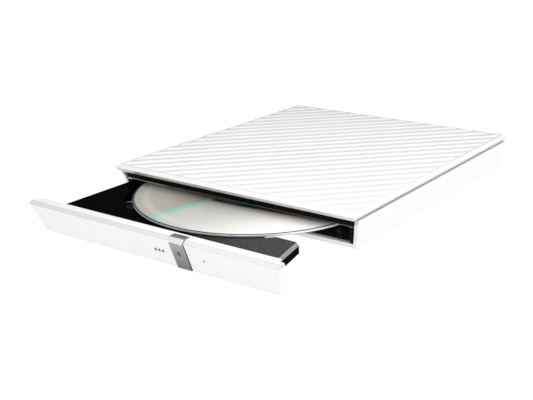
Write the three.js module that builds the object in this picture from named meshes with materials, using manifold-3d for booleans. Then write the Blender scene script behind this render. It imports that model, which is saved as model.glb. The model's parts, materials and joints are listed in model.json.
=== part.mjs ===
// A slim external optical drive with its tray part-way open and a disc on the spindle.
//
// Millimetres, +Z up. The tray opens towards -Y. Everything is laid out in the case's own frame:
// x = 0 on the centre line, y = 0 in the middle of the cover and z = 0 on the desk. Pieces of the
// tray are laid out where they stand with the tray shut, and their group is then moved forward.
// The whole drive is shifted along Y at the end, so that its origin is under the middle of its box.

import * as THREE from 'three';
import { mergeVertices } from 'three/addons/utils/BufferGeometryUtils.js';
import Module from 'manifold-3d';

const wasm = await Module();
wasm.setup();

// ---------------------------------------------------------------- driving dimensions

const CASE_WIDTH = 142;
const CASE_DEPTH = 156;
const FOOT_HEIGHT = 1;
const TRAY_OUT = 51.5; // how far the tray stands open
const BEZEL_PROUD = 1.2; // the shut bezel's face stands this far ahead of the cover's rim
const GAP = 0.3; // between pieces that touch on the real object

const DISC_RADIUS = 60;
const DISC_HOLE_RADIUS = 7.5;
const DISC_THICKNESS = 1.2;

// Levels above the desk, from the bottom up.
const SHELL_BOTTOM = FOOT_HEIGHT;
const SHELL_FLOOR = SHELL_BOTTOM + 1.5;
const LIP_TOP = SHELL_BOTTOM + 2.4;
const PAN_BOTTOM = SHELL_FLOOR + GAP;
const PAN_FLOOR = PAN_BOTTOM + 0.4;
const TRAY_BOTTOM = PAN_FLOOR + 1;
const DISC_BOTTOM = PAN_FLOOR + 6.6;
const DISC_TOP = DISC_BOTTOM + DISC_THICKNESS;
const TRAY_TOP = DISC_TOP - 0.2;
const RECESS_FLOOR = DISC_BOTTOM - 0.6;
const DECK_BOTTOM = RECESS_FLOOR - 1.2; // underside of the tray's thin top
const SHELL_TOP = SHELL_BOTTOM + 14.5;
const COVER_BOTTOM = SHELL_TOP + 0.5;
const COVER_RIM = COVER_BOTTOM + 1.9;
const COVER_TOP = COVER_RIM + 1.7;
const RIDGE_HEIGHT = 0.4;

// The case in plan.
const HALF_WIDTH = CASE_WIDTH / 2;
const HALF_DEPTH = CASE_DEPTH / 2;
const WALL = 1.8;
const SIDE_INSET_TOP = 0.75;
const SIDE_INSET_BOTTOM = 4;
const SIDE_SLOPE = (SIDE_INSET_BOTTOM - SIDE_INSET_TOP) / (SHELL_TOP - SHELL_BOTTOM);
const FRONT_INSET_TOP = 3.5;
const FRONT_INSET_BOTTOM = 7.2;
const BACK_Y = HALF_DEPTH - SIDE_INSET_TOP;

// The slim drive inside.
const PAN_HALF_WIDTH = 65;
const PAN_FRONT = -68.5;
const PAN_BACK = 61;
const SHEET = 0.5;
const FRAME_FRONT = -72.9;
const FRAME_BOTTOM = DISC_TOP + 0.7;

// The tray, in its shut place.
const TRAY_HALF_WIDTH = 64.2;
const TRAY_FRONT = -73.2;
const TRAY_BACK = 56;
const DEEP_LEFT = -61.2; // the deep part holds the mechanism; the rest of the tray is only its top
const DEEP_RIGHT = 29.4;
const TRAY_WALL = 1.5;
const CUTAWAY_X = 31.5; // the disc overhangs a cut-away on the right, behind the front block
const CUTAWAY_FRONT = -45.5;
const CUTAWAY_BACK = 43;
const SPINDLE = new THREE.Vector2(0, -0.6);

// The bezel, in its shut place.
const BEZEL_FACE_TOP = new THREE.Vector2(-HALF_DEPTH - BEZEL_PROUD, 14.15);
const BEZEL_FACE_BOTTOM = new THREE.Vector2(BEZEL_FACE_TOP.x + 5.1, 0.5);
const BEZEL_TOP = 15.6;
const BEZEL_TOP_FRONT = BEZEL_FACE_TOP.x + 1.5;
const BEZEL_RIB_BACK = TRAY_FRONT;
const STRIP_X = 18.7; // the metal eject strip
const STRIP_WIDTH = 7.7;
const STRIP_PROUD = 0.35;
const STRIP_THICKNESS = 0.7;
const PINHOLE_X = 31.5;
const INDICATOR_X = 6.9;
const INDICATOR_PITCH = 2.1;
const INDICATOR_Z = 7.4;
const SWITCH_Z = 6.4;

// The pickup's travel: u runs out from the spindle towards the tray's front left corner, v across.
const SLED_ANGLE = THREE.MathUtils.degToRad(225);
const SLED_REST = 24;
const SLED_HALF_LENGTH = 8;
const SLED_HALF_WIDTH = 16.5;
const ROD_V = 14.5;
const ROD_Z = 5.3;
const ROD_RADIUS = 1.1;
const SCREW_V = 10;
const SCREW_Z = 6;
const SCREW_RADIUS = 1.25;
const SCREW_PITCH = 3;

// Small parts.
const BOSS = new THREE.Vector2(58, 68.6);
const FOOT = new THREE.Vector2(56, 60);
const FOOT_RADIUS = 5;
const STUD = new THREE.Vector2(35.5, -49);
const LATCH_PIVOT = new THREE.Vector2(40.5, -66);
const EJECTOR_X = 48;
const EJECTOR_Z = 5.6;
const SOCKET_X = 20;

// ---------------------------------------------------------------- materials

function finish(color, roughness, metalness = 0) {
  return new THREE.MeshStandardMaterial({ color, roughness, metalness });
}
const WHITE_GLOSS = finish(0xf4f4f5, 0.25);
const BLACK_PLASTIC = finish(0x0c0c0d, 0.4);
const TRAY_PLASTIC = finish(0x2e2e30, 0.6);
const STEEL = finish(0xb4b6b8, 0.35, 1);
const BRUSHED = finish(0x9a9b9d, 0.35, 1);
const RUBBER = finish(0x1a1a1a, 0.9);
const BOARD_GREEN = finish(0x1d5b36, 0.5);
const CHIP = finish(0x161616, 0.5);
const POLYCARBONATE = finish(0xd4d6d2, 0.1, 0.8);
const CLEAR = finish(0x9fb4c8, 0.05);
const BRASS = finish(0xb08d45, 0.35, 1);

// ---------------------------------------------------------------- solids

function signedVolume(position, index) {
  const [a, b, c] = [new THREE.Vector3(), new THREE.Vector3(), new THREE.Vector3()];
  let volume = 0;
  for (let i = 0; i < index.length; i += 3) {
    a.fromArray(position, 3 * index[i]);
    b.fromArray(position, 3 * index[i + 1]);
    c.fromArray(position, 3 * index[i + 2]);
    volume += a.dot(b.cross(c)) / 6;
  }
  return volume;
}

// A closed geometry as a solid. A profile's direction decides which way its faces turn, so a
// geometry that comes out inside out is turned over here.
function solid(geometry) {
  const bare = geometry.clone();
  bare.deleteAttribute('normal');
  bare.deleteAttribute('uv');
  const merged = mergeVertices(bare, 1e-4);
  const position = new Float32Array(merged.attributes.position.array);
  const corners = merged.index.array;
  const kept = [];
  for (let i = 0; i < corners.length; i += 3) {
    const [a, b, c] = [corners[i], corners[i + 1], corners[i + 2]];
    if (a !== b && b !== c && c !== a) kept.push([a, b, c]);
  }
  const inside = signedVolume(position, kept.flat()) < 0;
  const faces = kept.map((face) => (inside ? [face[0], face[2], face[1]] : face));
  const triVerts = new Uint32Array(faces.flat());
  const mesh = new wasm.Mesh({ numProp: 3, vertProperties: position, triVerts });
  return new wasm.Manifold(mesh);
}

const join = (...solids) => solids.reduce((whole, next) => whole.add(next));
const cut = (body, ...tools) => tools.reduce((rest, tool) => rest.subtract(tool), body);

function shapeOf(points, holes = []) {
  const shape = new THREE.Shape(points.map(([x, y]) => new THREE.Vector2(x, y)));
  shape.holes = holes.map((hole) => new THREE.Path(hole.map(([x, y]) => new THREE.Vector2(x, y))));
  return shape;
}

// An outline extruded by depth, with its own x, y and depth directions turned to the given axes.
function extrusion(points, depth, xAxis, yAxis, origin, holes) {
  const geometry = new THREE.ExtrudeGeometry(shapeOf(points, holes), { depth, bevelEnabled: false });
  const zAxis = new THREE.Vector3().crossVectors(xAxis, yAxis);
  const matrix = new THREE.Matrix4().makeBasis(xAxis, yAxis, zAxis).setPosition(origin);
  return solid(geometry.applyMatrix4(matrix));
}

const X = new THREE.Vector3(1, 0, 0);
const Y = new THREE.Vector3(0, 1, 0);
const Z = new THREE.Vector3(0, 0, 1);

// Prisms: outlines in the XY, YZ and XZ planes.
const prismZ = (points, z0, z1, holes) => extrusion(points, z1 - z0, X, Y, new THREE.Vector3(0, 0, z0), holes);
const prismX = (points, x0, x1) => extrusion(points, x1 - x0, Y, Z, new THREE.Vector3(x0, 0, 0));
const prismY = (points, y0, y1, holes) => extrusion(points, y1 - y0, X, Z, new THREE.Vector3(0, y1, 0), holes);

const box = (x0, x1, y0, y1, z0, z1) => prismZ([[x0, y0], [x1, y0], [x1, y1], [x0, y1]], z0, z1);

// A box whose sides lean: low and high give [x0, x1, y0, y1] at z0 and z1.
function leaningBox(low, high, z0, z1) {
  const geometry = new THREE.BoxGeometry(1, 1, 1);
  const position = geometry.attributes.position;
  for (let i = 0; i < position.count; i += 1) {
    const [x0, x1, y0, y1] = position.getZ(i) < 0 ? low : high;
    const x = position.getX(i) < 0 ? x0 : x1;
    const y = position.getY(i) < 0 ? y0 : y1;
    position.setXYZ(i, x, y, position.getZ(i) < 0 ? z0 : z1);
  }
  return solid(geometry);
}

// A profile of [radius, z] points turned about an upright axis at centre.
function turned(points, segments, centre = new THREE.Vector2()) {
  const profile = points.map(([radius, z]) => new THREE.Vector2(radius, z));
  const geometry = new THREE.LatheGeometry(profile, segments);
  geometry.rotateX(Math.PI / 2);
  geometry.translate(centre.x, centre.y, 0);
  return solid(geometry);
}

const ringProfile = (inner, outer, z0, z1) => [[inner, z0], [outer, z0], [outer, z1], [inner, z1], [inner, z0]];

function cylinder(radius, z0, z1, centre = new THREE.Vector2(), segments = 24) {
  return turned([[0, z0], [radius, z0], [radius, z1], [0, z1]], segments, centre);
}

// A profile of [radius, distance] points turned about the line from one point towards another.
function turnedAlong(points, from, to, segments) {
  const profile = points.map(([radius, distance]) => new THREE.Vector2(radius, distance));
  const geometry = new THREE.LatheGeometry(profile, segments);
  const direction = new THREE.Vector3().subVectors(to, from).normalize();
  geometry.applyQuaternion(new THREE.Quaternion().setFromUnitVectors(Y, direction));
  geometry.translate(from.x, from.y, from.z);
  return solid(geometry);
}

function rod(radius, from, to, segments = 12) {
  const length = from.distanceTo(to);
  return turnedAlong([[0, 0], [radius, 0], [radius, length], [0, length]], from, to, segments);
}

// A rectangle that spans two radii about the spindle, centred on an angle.
function radialRectangle(angle, inner, outer, width) {
  const out = new THREE.Vector2(Math.cos(angle), Math.sin(angle));
  const across = new THREE.Vector2(-out.y, out.x);
  const corner = (radius, side) => {
    const point = SPINDLE.clone().addScaledVector(out, radius).addScaledVector(across, (side * width) / 2);
    return [point.x, point.y];
  };
  return [corner(inner, -1), corner(outer, -1), corner(outer, 1), corner(inner, 1)];
}

// A point and a rectangle in the pickup's own u and v directions.
function sledPoint(u, v) {
  const [c, s] = [Math.cos(SLED_ANGLE), Math.sin(SLED_ANGLE)];
  return new THREE.Vector2(SPINDLE.x + u * c - v * s, SPINDLE.y + u * s + v * c);
}

function sledRectangle(u0, u1, v0, v1) {
  return [[u0, v0], [u1, v0], [u1, v1], [u0, v1]].map(([u, v]) => sledPoint(u, v).toArray());
}

const sledBox = (u0, u1, v0, v1, z0, z1) => prismZ(sledRectangle(u0, u1, v0, v1), z0, z1);
const sledAxisPoint = (u, v, z) => new THREE.Vector3(...sledPoint(u, v).toArray(), z);

function piece(group, name, body, material) {
  const { vertProperties, triVerts, numProp } = body.getMesh();
  const geometry = new THREE.BufferGeometry();
  const position = new Float32Array((vertProperties.length / numProp) * 3);
  for (let i = 0; i < position.length / 3; i += 1) {
    position.set(vertProperties.subarray(i * numProp, i * numProp + 3), i * 3);
  }
  geometry.setAttribute('position', new THREE.BufferAttribute(position, 3));
  geometry.setIndex(new THREE.BufferAttribute(new Uint32Array(triVerts), 1));
  geometry.computeVertexNormals();
  const mesh = new THREE.Mesh(geometry, material);
  mesh.name = name;
  group.add(mesh);
}

// ---------------------------------------------------------------- the case

// Half the case's width at a height, outside and inside.
const outerHalfWidth = (z) => HALF_WIDTH - SIDE_INSET_TOP - (SHELL_TOP - z) * SIDE_SLOPE;
const innerHalfWidth = (z) => outerHalfWidth(z) - WALL;

function frontY(z) {
  const lean = (FRONT_INSET_BOTTOM - FRONT_INSET_TOP) / (SHELL_TOP - SHELL_BOTTOM);
  return -HALF_DEPTH + FRONT_INSET_TOP + (SHELL_TOP - z) * lean;
}

function coverRidges() {
  const pitch = 8;
  const width = pitch - 0.6;
  const root = 0.1;
  const margin = 4;
  const reach = HALF_WIDTH + HALF_DEPTH;
  const along = new THREE.Vector3(1, 1, 0).normalize();
  const across = new THREE.Vector3(1, -1, 0).normalize();
  const section = [[-width / 2, -root], [width / 2, -root], [0, RIDGE_HEIGHT]];
  const ridges = [];
  for (let offset = -13 * pitch; offset <= 13 * pitch; offset += pitch) {
    const start = along.clone().multiplyScalar(reach / 2).addScaledVector(across, offset);
    start.z = COVER_TOP;
    ridges.push(extrusion(section, reach, across, Z, start));
  }
  const x = HALF_WIDTH - margin;
  const y = HALF_DEPTH - margin;
  return join(...ridges).intersect(box(-x, x, -y, y, COVER_TOP - root, COVER_TOP + RIDGE_HEIGHT));
}

// The cover: a plate with a double bevel round its edge, a shallow recess under it, a skirt that
// fits inside the shell's walls and two screw bosses at the back.
function topCover() {
  const topInset = 2;
  const bottomInset = 1.5;
  const rectangle = (inset) => {
    const x = HALF_WIDTH - inset;
    const y = HALF_DEPTH - inset;
    return [-x, x, -y, y];
  };
  const plate = join(
    leaningBox(rectangle(bottomInset), rectangle(0), COVER_BOTTOM, COVER_RIM),
    leaningBox(rectangle(0), rectangle(topInset), COVER_RIM, COVER_TOP),
    coverRidges(),
  );
  const skirtDrop = 1.2;
  const skirtX = innerHalfWidth(COVER_BOTTOM - skirtDrop) - GAP;
  const skirtBack = BACK_Y - WALL - GAP;
  const skirtWall = 1;
  const front = PAN_FRONT;
  const skirt = cut(
    box(-skirtX, skirtX, front, skirtBack, COVER_BOTTOM - skirtDrop, COVER_BOTTOM + 0.2),
    box(
      -skirtX + skirtWall, skirtX - skirtWall, front - 1, skirtBack - skirtWall,
      COVER_BOTTOM - skirtDrop - 1, COVER_BOTTOM + 1,
    ),
  );
  const recess = box(
    -skirtX + skirtWall, skirtX - skirtWall, front, skirtBack - skirtWall, COVER_BOTTOM - 1, COVER_RIM,
  );
  const bosses = [-1, 1].map((side) => {
    const centre = new THREE.Vector2(side * BOSS.x, BOSS.y);
    return cut(cylinder(3.2, 4, COVER_RIM + 0.2, centre), cylinder(1.4, 3, 12, centre, 12));
  });
  return join(cut(join(plate, skirt), recess), ...bosses);
}

function bottomShell() {
  const wallX = (z) => [-outerHalfWidth(z), outerHalfWidth(z)];
  const hollowX = (z) => [-innerHalfWidth(z), innerHalfWidth(z)];
  const top = SHELL_TOP + 1;
  const lipBack = frontY(SHELL_BOTTOM) + 2;
  const outside = leaningBox(
    [...wallX(SHELL_BOTTOM), frontY(SHELL_BOTTOM), BACK_Y],
    [...wallX(SHELL_TOP), frontY(SHELL_TOP), BACK_Y],
    SHELL_BOTTOM,
    SHELL_TOP,
  );
  const hollow = leaningBox(
    [...hollowX(SHELL_FLOOR), lipBack, BACK_Y - WALL],
    [...hollowX(top), lipBack, BACK_Y - WALL],
    SHELL_FLOOR,
    top,
  );
  const mouth = leaningBox(
    [...hollowX(LIP_TOP), -HALF_DEPTH - 2, lipBack + 1],
    [...hollowX(top), -HALF_DEPTH - 2, lipBack + 1],
    LIP_TOP,
    top,
  );
  const socketHole = box(SOCKET_X - 4.3, SOCKET_X + 4.3, BACK_Y - 3, BACK_Y + 1, 4.8, 9.6);
  const footSeats = cornersOf(FOOT).map((centre) => cylinder(FOOT_RADIUS + GAP, 0, 1.6, centre));
  const screwHoles = [-1, 1].flatMap((side) => {
    const centre = new THREE.Vector2(side * BOSS.x, BOSS.y);
    return [cylinder(1.7, 0, 4, centre, 16), cylinder(3, 0, 2, centre, 16)];
  });
  return cut(outside, hollow, mouth, socketHole, ...footSeats, ...screwHoles);
}

function cornersOf(point) {
  return [[-1, -1], [1, -1], [-1, 1], [1, 1]].map(([x, y]) => new THREE.Vector2(x * point.x, y * point.y));
}

function foot(centre) {
  return turned([[0, 0], [FOOT_RADIUS - 0.6, 0], [FOOT_RADIUS, 0.5], [FOOT_RADIUS, 1.3], [0, 1.3]], 24, centre);
}

function caseScrew(centre) {
  const profile = [[0, 1.2], [2.2, 1.2], [2.6, 1.5], [2.6, 1.9], [1.1, 1.9], [1.1, 10], [0, 10.6]];
  return turned(profile, 16, centre);
}

// The black frame round the mouth of the case: a valance under the cover and a leg on each side.
function frontFrame() {
  const legBottom = LIP_TOP + 0.2;
  const top = SHELL_TOP + 0.2;
  const back = PAN_FRONT - GAP;
  const outsideX = (z) => innerHalfWidth(z) - GAP;
  const insideX = TRAY_HALF_WIDTH + 0.4;
  const outline = [
    [-outsideX(legBottom), legBottom], [-insideX, legBottom], [-insideX, FRAME_BOTTOM],
    [insideX, FRAME_BOTTOM], [insideX, legBottom], [outsideX(legBottom), legBottom],
    [outsideX(SHELL_TOP), top], [-outsideX(SHELL_TOP), top],
  ];
  const side = [[back, legBottom], [back, top], [FRAME_FRONT, top], [FRAME_FRONT, 7.6], [-71.7, legBottom]];
  return prismY(outline, FRAME_FRONT - 1, back).intersect(prismX(side, -HALF_WIDTH, HALF_WIDTH));
}

// ---------------------------------------------------------------- the slim drive, fixed parts

function basePan() {
  const top = SHELL_TOP - 0.6;
  const inside = PAN_HALF_WIDTH - SHEET;
  const connectorNotch = box(35, 54, PAN_BACK - 2, PAN_BACK + 1, PAN_FLOOR, 8);
  return cut(
    box(-PAN_HALF_WIDTH, PAN_HALF_WIDTH, PAN_FRONT, PAN_BACK, PAN_BOTTOM, top),
    box(-inside, inside, PAN_FRONT - 1, PAN_BACK - SHEET, PAN_FLOOR, top + 1),
    connectorNotch,
  );
}

function driveTopPlate() {
  const bottom = SHELL_TOP - 0.5;
  return box(-PAN_HALF_WIDTH, PAN_HALF_WIDTH, PAN_FRONT, PAN_BACK, bottom, bottom + 0.4);
}

function railGuide(side) {
  const x = [side * 61.4, side * 64.3].sort((a, b) => a - b);
  return box(...x, -66, 54, PAN_FLOOR + 0.2, TRAY_BOTTOM);
}

function latchStud() {
  return turned([[0, 3.4], [1.8, 3.4], [1.8, 3.9], [1.1, 3.9], [1.1, 7.2], [0, 7.4]], 16, STUD);
}

const EJECTOR_HOUSING_FRONT = -44;
const EJECTOR_HEAD_BACK = -54;

function ejectorAxis(y) {
  return new THREE.Vector3(EJECTOR_X, y, EJECTOR_Z);
}

function ejectorHousing() {
  const back = EJECTOR_HOUSING_FRONT + 10;
  return cut(
    box(EJECTOR_X - 3.5, EJECTOR_X + 3.5, EJECTOR_HOUSING_FRONT, back, PAN_FLOOR + GAP, 7.7),
    rod(1.35, ejectorAxis(EJECTOR_HOUSING_FRONT - 1), ejectorAxis(back + 1)),
  );
}

function ejectorPin() {
  const head = 1.5;
  const length = 23;
  const profile = [[0, 0], [1.4, 0], [1.8, 0.4], [1.8, head], [1, head], [1, length - 0.5], [0.6, length], [0, length]];
  return turnedAlong(profile, ejectorAxis(EJECTOR_HEAD_BACK - head), ejectorAxis(0), 16);
}

function ejectorSpring() {
  const turns = 7;
  const radius = 1.5;
  const wire = 0.2;
  const start = EJECTOR_HEAD_BACK + GAP + wire;
  const length = EJECTOR_HOUSING_FRONT - GAP - wire - start;
  class Coil extends THREE.Curve {
    getPoint(t, target = new THREE.Vector3()) {
      const angle = 2 * Math.PI * turns * t;
      return target.set(
        EJECTOR_X + radius * Math.cos(angle), start + length * t, EJECTOR_Z + radius * Math.sin(angle),
      );
    }
  }
  const section = new THREE.Shape().absarc(0, 0, wire, 0, 2 * Math.PI);
  const options = { steps: turns * 10, extrudePath: new Coil(), curveSegments: 2, bevelEnabled: false };
  return solid(new THREE.ExtrudeGeometry(section, options));
}

function mainBoard() {
  return box(34, 60.8, -20, 50, PAN_FLOOR + GAP, PAN_FLOOR + GAP + 1);
}

// The drive's connector, and the socket on the adapter board that it plugs into.
const driveConnector = () => box(36, 53, 52, PAN_BACK - 0.2, PAN_FLOOR + GAP, 7.5);
const boardConnector = () => box(36, 53, PAN_BACK + GAP, 66, 4.9, 8);

function bridgeBoard() {
  return box(0, 53, 62, BACK_Y - WALL - GAP, 3.6, 4.6);
}

// A small five-pin USB socket: a sheet metal shell round a tongue, open to the back.
function usbSocket() {
  const outline = (inset) => {
    const half = 3.85 - inset;
    return [
      [SOCKET_X - half, 5 + inset + 0.9], [SOCKET_X - half + 0.9, 5 + inset],
      [SOCKET_X + half - 0.9, 5 + inset], [SOCKET_X + half, 5 + inset + 0.9],
      [SOCKET_X + half, 9 - inset], [SOCKET_X - half, 9 - inset],
    ];
  };
  const mouth = BACK_Y - GAP;
  const tongue = box(SOCKET_X - 2, SOCKET_X + 2, mouth - 8, mouth - 1, 6.6, 7.3);
  const shell = cut(prismY(outline(0), mouth - 9, mouth), prismY(outline(0.4), mouth - 7.5, mouth + 1));
  return join(shell, tongue);
}

// ---------------------------------------------------------------- the rails

const RAIL_FRONT = -40;
const RAIL_BACK = 58;

function slideRail(side) {
  const [inner, outer, web] = [61.6, 64.1, 62.8];
  const [low, high] = [TRAY_BOTTOM + 0.2, DECK_BOTTOM - 0.4];
  const points = [[inner, low], [outer, low], [outer, high], [inner, high], [inner, high - 1], [web, high - 1]];
  const channel = [...points, [web, low + 1], [inner, low + 1]];
  return prismY(channel.map(([x, z]) => [side * x, z]), RAIL_FRONT, RAIL_BACK);
}

// ---------------------------------------------------------------- the tray

const BLOCK_CORNER = new THREE.Vector2(62.9, TRAY_FRONT);
const BLOCK_SIDE_END = new THREE.Vector2(57, CUTAWAY_FRONT - 2.8);
const BLOCK_BACK_CORNER = new THREE.Vector2(56.6, CUTAWAY_FRONT - 1.2);
const BLOCK_BACK_END = new THREE.Vector2(55, CUTAWAY_FRONT - 0.6);
const SKIRT_WALL = 1.2;
const SKIRT_DROP = 1.6;

const blockSide = () => [BLOCK_CORNER, BLOCK_SIDE_END, BLOCK_BACK_CORNER, BLOCK_BACK_END].map((p) => p.toArray());

// The tray's top, with the block at its right front corner and the arm at its back.
function trayTopOutline() {
  const [left, right] = [-TRAY_HALF_WIDTH, TRAY_HALF_WIDTH];
  return [
    [left, TRAY_FRONT], ...blockSide(), [CUTAWAY_X + 2, CUTAWAY_FRONT], [CUTAWAY_X, CUTAWAY_FRONT + 2],
    [CUTAWAY_X, CUTAWAY_BACK - 3], [CUTAWAY_X + 3, CUTAWAY_BACK], [right, CUTAWAY_BACK],
    [right, TRAY_BACK - 2], [right - 2, TRAY_BACK], [left + 2, TRAY_BACK], [left, TRAY_BACK - 2],
  ];
}

function trayPlate() {
  const deepTop = DECK_BOTTOM + 0.2;
  const top = prismZ(trayTopOutline(), DECK_BOTTOM, TRAY_TOP);
  const skirtOutline = [
    [BLOCK_CORNER.x - SKIRT_WALL, TRAY_FRONT], ...blockSide(), [BLOCK_BACK_END.x - 1, BLOCK_SIDE_END.y],
    [BLOCK_SIDE_END.x - SKIRT_WALL, BLOCK_SIDE_END.y],
  ];
  const skirt = prismZ(skirtOutline, DECK_BOTTOM - SKIRT_DROP, deepTop);
  const deep = box(DEEP_LEFT, DEEP_RIGHT, TRAY_FRONT, TRAY_BACK, TRAY_BOTTOM, deepTop);
  const pocket = box(
    DEEP_LEFT + TRAY_WALL, DEEP_RIGHT - TRAY_WALL, TRAY_FRONT + TRAY_WALL + 0.1, TRAY_BACK - TRAY_WALL,
    TRAY_BOTTOM - 1, DECK_BOTTOM,
  );
  const recess = turned(
    [[0, RECESS_FLOOR], [DISC_RADIUS + 2.5, RECESS_FLOOR], [DISC_RADIUS + 2.5, TRAY_TOP - 0.8],
      [DISC_RADIUS + 3.3, TRAY_TOP], [DISC_RADIUS + 3.3, TRAY_TOP + 1], [0, TRAY_TOP + 1]],
    96,
    SPINDLE,
  );
  const spindleHole = cylinder(14.6, DECK_BOTTOM - 1, TRAY_TOP, SPINDLE, 32);
  const window = sledBox(12, 63.2, -8.6, 8.6, DECK_BOTTOM - 1, TRAY_TOP);
  const rimNotches = [225, 233].map((degrees) => {
    const angle = THREE.MathUtils.degToRad(degrees);
    return prismZ(radialRectangle(angle, DISC_RADIUS, DISC_RADIUS + 4.2, 4.6), RECESS_FLOOR, TRAY_TOP + 1);
  });
  const switchHole = box(STRIP_X - 2.8, STRIP_X + 2.8, TRAY_FRONT - 1, TRAY_FRONT + 3, 4.8, DECK_BOTTOM - 0.2);
  const lampHole = box(INDICATOR_X - 1.3, INDICATOR_X + 1.3, TRAY_FRONT - 1, TRAY_FRONT + 3, 5.2, 7.4);
  const pinGroove = box(PINHOLE_X - 0.9, PINHOLE_X + 0.9, TRAY_FRONT - 1, -66, DECK_BOTTOM - 0.1, 8.8);
  const blockNotch = box(50, 54, TRAY_FRONT - 1, TRAY_FRONT + 4.6, TRAY_TOP - 1, TRAY_TOP + 1);
  const posts = DAMPER_POINTS.map((centre) => cylinder(0.9, TRAY_BOTTOM + 0.5, deepTop, centre, 12));
  return join(
    cut(
      join(top, deep, skirt), pocket, recess, spindleHole, window, ...rimNotches, switchHole, lampHole, pinGroove,
      blockNotch, blockBevel(),
    ),
    ...posts,
  );
}

// The bevel along the block's right edge.
function blockBevel() {
  const start = new THREE.Vector3(BLOCK_CORNER.x, BLOCK_CORNER.y - 1, TRAY_TOP);
  const end = new THREE.Vector3(BLOCK_SIDE_END.x, BLOCK_SIDE_END.y, TRAY_TOP);
  const along = new THREE.Vector3().subVectors(end, start);
  const outward = new THREE.Vector3(along.y, -along.x, 0).normalize();
  const section = [[-2, 0.1], [0.1, -1], [2, -1], [2, 2], [-2, 2]];
  const depth = along.length() + 4;
  const far = start.addScaledVector(along.normalize(), depth - 1);
  return extrusion(section, depth, Z.clone().cross(outward).cross(Z), Z, far);
}

// The chassis hangs from the tray on three rubber dampers.
const DAMPER_POINTS = [sledPoint(-17.6, 0), sledPoint(40, 19.8), sledPoint(30, -19.8)];

function traverseChassis() {
  const [low, high] = [6.7, 7.7];
  const plate = sledBox(-21, 68, -22.5, 22.5, low, high);
  const room = box(DEEP_LEFT + TRAY_WALL + 0.2, DEEP_RIGHT - TRAY_WALL - 0.2, TRAY_FRONT + 3, TRAY_BACK - 2, 0, 20);
  return cut(
    plate.intersect(room),
    cylinder(14.3, low - 1, high + 1, SPINDLE, 32),
    sledBox(12.8, 65.2, -17, 17, low - 1, high + 1),
    sledBox(64, 75, SCREW_V - 2.4, SCREW_V + 2.4, low - 1, high + 1),
    ...DAMPER_POINTS.map((centre) => cylinder(1.5, low - 1, high + 1, centre, 16)),
  );
}

const damper = (centre) => turned(ringProfile(1.2, 2.5, 4.9, 6.4), 16, centre);
const spindleMotor = () => turned(ringProfile(1.5, 12, 4.4, 6.3), 32, SPINDLE);

const guideRod = (v) => rod(ROD_RADIUS, sledAxisPoint(6, v, ROD_Z), sledAxisPoint(66, v, ROD_Z), 12);
const sledMotor = () => rod(1.8, sledAxisPoint(65.2, SCREW_V, SCREW_Z), sledAxisPoint(73, SCREW_V, SCREW_Z), 16);

function trayUnderCover() {
  const corner = 3;
  const [x0, x1, y0, y1] = [DEEP_LEFT + 0.2, DEEP_RIGHT - 0.2, TRAY_FRONT + 1, TRAY_BACK - 0.4];
  const outline = [
    [x0, y0], [x1, y0], [x1, y1 - corner], [x1 - corner, y1], [x0 + corner, y1], [x0, y1 - corner],
  ];
  return prismZ(outline, LIP_TOP + 0.2, TRAY_BOTTOM - 0.2);
}

function switchBoard() {
  const front = TRAY_FRONT + TRAY_WALL + 0.9;
  return box(0, 26, front, front + 0.8, TRAY_BOTTOM + GAP, DECK_BOTTOM - 0.2);
}

function ejectSwitch() {
  const back = TRAY_FRONT + TRAY_WALL + 0.8;
  const body = box(STRIP_X - 2.4, STRIP_X + 2.4, TRAY_FRONT + 0.8, back, 5.1, 7.6);
  return join(body, box(STRIP_X - 1, STRIP_X + 1, TRAY_FRONT - 0.1, TRAY_FRONT + 1, SWITCH_Z - 0.8, SWITCH_Z + 0.8));
}

function statusLamp() {
  return box(INDICATOR_X - 1, INDICATOR_X + 1, TRAY_FRONT + 0.4, TRAY_FRONT + TRAY_WALL + 0.8, 5.5, 7.1);
}

// The solenoid that frees the latch: a steel yoke round a coil.
function latchSolenoid() {
  return cut(
    box(45, 55, -70, -60, 4.6, 7.6),
    box(47, 53, -71, -68.4, 4, 8),
    box(47, 53, -61.6, -59, 4, 8),
  );
}

// ---------------------------------------------------------------- the bezel

// The bezel's front outline in the YZ plane, moved outwards by offset.
function bezelFront(offset) {
  const lean = Math.atan2(BEZEL_FACE_BOTTOM.x - BEZEL_FACE_TOP.x, BEZEL_FACE_TOP.y - BEZEL_FACE_BOTTOM.y);
  const faceShift = offset / Math.cos(lean);
  const chamfer = Math.atan2(BEZEL_TOP - BEZEL_FACE_TOP.y, BEZEL_TOP_FRONT - BEZEL_FACE_TOP.x);
  const meetFace = offset * Math.tan((Math.PI / 2 + lean - chamfer) / 2);
  const meetTop = offset * Math.tan(chamfer / 2);
  const down = new THREE.Vector2(Math.sin(lean), -Math.cos(lean));
  const out = new THREE.Vector2(-Math.cos(lean), -Math.sin(lean));
  const shoulder = BEZEL_FACE_TOP.clone().addScaledVector(out, offset).addScaledVector(down, -meetFace);
  return {
    bottom: [BEZEL_FACE_BOTTOM.x - faceShift, BEZEL_FACE_BOTTOM.y],
    shoulder: shoulder.toArray(),
    top: [BEZEL_TOP_FRONT - meetTop, BEZEL_TOP + offset],
  };
}

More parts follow.
